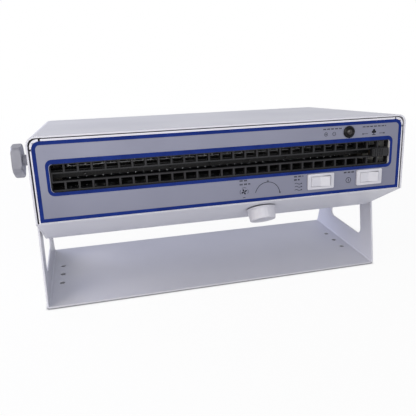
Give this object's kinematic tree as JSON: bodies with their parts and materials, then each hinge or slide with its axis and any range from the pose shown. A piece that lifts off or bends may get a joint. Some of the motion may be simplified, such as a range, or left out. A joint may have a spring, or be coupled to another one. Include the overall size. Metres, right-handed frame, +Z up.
{
  "type": "ionizing blower",
  "caption": "Benchtop ionizing blower: tilting sheet-metal housing in a U-shaped stand, wide slotted air outlet with emitter cleaner, rocker switches, speed knob and side clamp knobs.",
  "frame": {"origin": "centre of the stand's base plate, on its underside where it rests on the bench", "axes": "+X to the right along the wide front, +Y to the back, +Z up from the bench; the outlet faces -Y"},
  "size_m": [0.4702, 0.2423, 0.2083],
  "materials": {
    "housing_paint": "satin powder coat",
    "panel_silver": "satin",
    "duct_white": "semi gloss enamel",
    "grille_black": "moulded",
    "insulator_black": "moulded",
    "duct_black": "matt black enamel",
    "needle_metal": "ground",
    "brush_fibre": "bristle",
    "heater_alloy": "pressed fins",
    "heater_ceramic": "sintered",
    "mica_tan": "pressed",
    "zinc_sheet": "zinc plated",
    "bright_steel": "nickel plated",
    "wheel_alloy": "pressed",
    "lamination": "stacked laminations",
    "copper": "enamelled wire",
    "black_plastic": "moulded",
    "white_plastic": "moulded",
    "knob_grey": "moulded",
    "washer_nylon": "moulded",
    "rubber_black": "moulded",
    "filter_foam": "open-cell foam",
    "brass_bright": "turned",
    "board_green": "solder resist",
    "component_mix": "moulded cases",
    "lens_dark": "polished"
  },
  "bodies": {
    "stand": {"stand_bracket": "housing_paint"},
    "housing": {"spacer_washers": "washer_nylon", "top_cover": "housing_paint", "chassis_tray": "housing_paint", "front_panel": "panel_silver", "back_panel": "housing_paint", "outlet_duct": "duct_white", "duct_ramp": "duct_black", "duct_blanks": "duct_black", "duct_roof": "duct_black", "outlet_grille": "grille_black", "emitter_bar": "insulator_black", "emitter_needles": "needle_metal", "heater_core": "heater_ceramic", "heater_fins": "heater_alloy", "heater_holders": "mica_tan", "scroll_back": "zinc_sheet", "scroll_tongue": "zinc_sheet", "fan_end_plate_left": "zinc_sheet", "fan_end_plate_right": "zinc_sheet", "fan_bush": "rubber_black", "motor_stator": "lamination", "motor_coil": "copper", "motor_bracket": "zinc_sheet", "inlet_grille": "grille_black", "inlet_filter": "filter_foam", "filter_frame": "grille_black", "mains_inlet": "black_plastic", "inlet_pins": "brass_bright", "fuse_holder": "black_plastic", "hv_transformer": "black_plastic", "transformer_clamp": "zinc_sheet", "circuit_board": "board_green", "board_parts": "component_mix", "board_standoffs": "brass_bright", "earth_stud": "brass_bright", "speed_control": "bright_steel", "speed_nut": "bright_steel", "power_switch": "white_plastic", "heat_switch": "white_plastic", "lamp_bezel": "black_plastic", "lamp_lens": "lens_dark", "lamp_nut": "bright_steel", "pivot_nuts": "bright_steel", "cover_screws": "bright_steel", "back_screws": "bright_steel", "mains_screws": "bright_steel"},
    "cleaner": {"cleaner_slider": "grille_black", "cleaner_brush": "brush_fibre"},
    "impeller": {"fan_wheel": "wheel_alloy", "fan_shaft": "bright_steel", "motor_rotor": "bright_steel"},
    "speed_dial": {"speed_knob": "white_plastic", "speed_shaft": "bright_steel"},
    "power_rocker": {"power_rocker": "white_plastic"},
    "heat_rocker": {"heat_rocker": "white_plastic"},
    "left_clamp": {"clamp_knob_left": "knob_grey", "clamp_screw_left": "bright_steel"},
    "right_clamp": {"clamp_knob_right": "knob_grey", "clamp_screw_right": "bright_steel"}
  },
  "joints": [
    {"name": "housing_tilt", "type": "hinge", "parent": "stand", "child": "housing", "pos_m": [0, 0, 0.1583], "axis": [1, 0, 0], "range_deg": [-84, 96]},
    {"name": "left_clamp_turn", "type": "hinge", "parent": "housing", "child": "left_clamp", "pos_m": [-0.22, 0, 0.1583], "axis": [-1, 0, 0], "range_deg": [0, 360]},
    {"name": "right_clamp_turn", "type": "hinge", "parent": "housing", "child": "right_clamp", "pos_m": [0.22, 0, 0.1583], "axis": [1, 0, 0], "range_deg": [0, 360]},
    {"name": "speed_turn", "type": "hinge", "parent": "housing", "child": "speed_dial", "pos_m": [0.0375, -0.10264, 0.10834], "axis": [0, -0.5518, -0.834], "range_deg": [-140, 140]},
    {"name": "power_rock", "type": "hinge", "parent": "housing", "child": "power_rocker", "pos_m": [0.161, -0.11954, 0.13979], "axis": [0, 0.1028, 0.9947], "range_deg": [0, 14]},
    {"name": "heat_rock", "type": "hinge", "parent": "housing", "child": "heat_rocker", "pos_m": [0.1002, -0.11954, 0.13979], "axis": [0, 0.1028, 0.9947], "range_deg": [0, 14]},
    {"name": "cleaner_slide", "type": "slide", "parent": "housing", "child": "cleaner", "axis": [1, 0, 0], "range_m": [-0.35, 0]},
    {"name": "fan_spin", "type": "hinge", "parent": "housing", "child": "impeller", "pos_m": [0, 0.01602, 0.15765], "axis": [1, 0, 0], "continuous": true}
  ]
}
